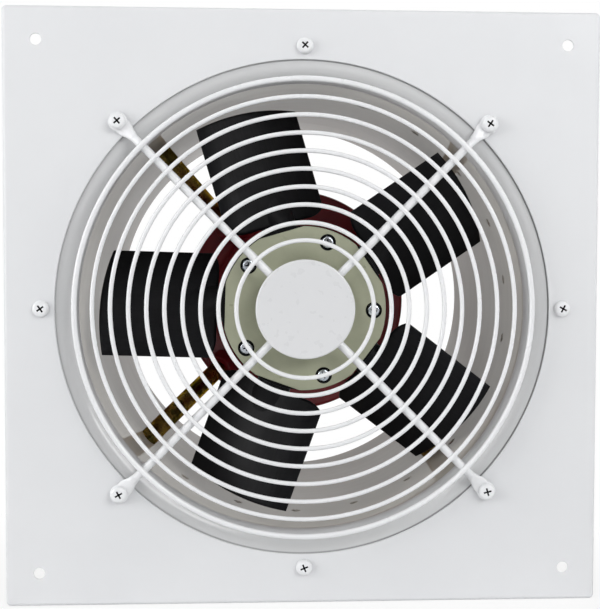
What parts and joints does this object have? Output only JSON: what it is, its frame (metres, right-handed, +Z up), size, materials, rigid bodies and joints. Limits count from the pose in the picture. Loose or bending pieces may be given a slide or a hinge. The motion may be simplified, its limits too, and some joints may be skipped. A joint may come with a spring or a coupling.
{
  "type": "window exhaust fan",
  "caption": "Square wall plate with a round casing, a flat wire guard and a bladed impeller on a rear motor, for drawing room air out through a wall or window.",
  "frame": {"origin": "on the fan's axis in the plane of the wall, where the plate's folded edges rest", "axes": "+Y along the air stream, from the room through the wall; +Z up; the guard and the hub face -Y"},
  "size_m": [0.428, 0.2957, 0.428],
  "materials": {
    "white_coat": "satin powder coat",
    "guard_coat": "gloss powder coat",
    "casing_coat": "gloss powder coat",
    "screw_coat": "gloss paint",
    "arm_plate": "yellow passivated zinc",
    "zinc": "bright zinc plate",
    "red_coat": "dark red enamel",
    "black_nylon": "moulded, glass filled",
    "hub_grey": "satin, greenish grey",
    "steel": "ground steel",
    "copper": "enamelled wire",
    "black_gland": "moulded nylon"
  },
  "bodies": {
    "housing": {"wall_plate": "white_coat", "mouth_ring": "white_coat", "casing": "casing_coat", "wire_guard": "guard_coat", "guard_disc": "guard_coat", "flange_screw_1": "screw_coat", "flange_screw_2": "screw_coat", "flange_screw_3": "screw_coat", "flange_screw_4": "screw_coat", "flange_screw_5": "screw_coat", "flange_screw_6": "screw_coat", "flange_screw_7": "screw_coat", "flange_screw_8": "screw_coat", "motor_arm_1": "arm_plate", "motor_arm_2": "arm_plate", "motor_arm_3": "arm_plate", "motor_arm_4": "arm_plate", "arm_bolt_1": "zinc", "arm_bolt_2": "zinc", "arm_bolt_3": "zinc", "arm_bolt_4": "zinc", "motor_front_bell": "red_coat", "motor_body": "red_coat", "motor_rear_bell": "red_coat", "bell_screw_1": "zinc", "bell_screw_2": "zinc", "bell_screw_3": "zinc", "bell_screw_4": "zinc", "front_bearing": "steel", "rear_bearing": "steel", "stator_core": "steel", "stator_winding": "copper", "cable_gland": "black_gland"},
    "impeller": {"motor_shaft": "steel", "rotor_core": "steel", "hub_front_plate": "hub_grey", "hub_clamp_front": "black_nylon", "hub_clamp_rear": "black_nylon", "blade_1": "black_nylon", "blade_2": "black_nylon", "blade_3": "black_nylon", "blade_4": "black_nylon", "blade_5": "black_nylon", "hub_screw_1": "zinc", "hub_screw_2": "zinc", "hub_screw_3": "zinc", "hub_screw_4": "zinc", "hub_screw_5": "zinc", "hub_set_screw": "zinc"}
  },
  "joints": [
    {"name": "impeller_spin", "type": "hinge", "parent": "housing", "child": "impeller", "pos_m": [0, 0.026, 0], "axis": [0, 1, 0], "continuous": true}
  ]
}
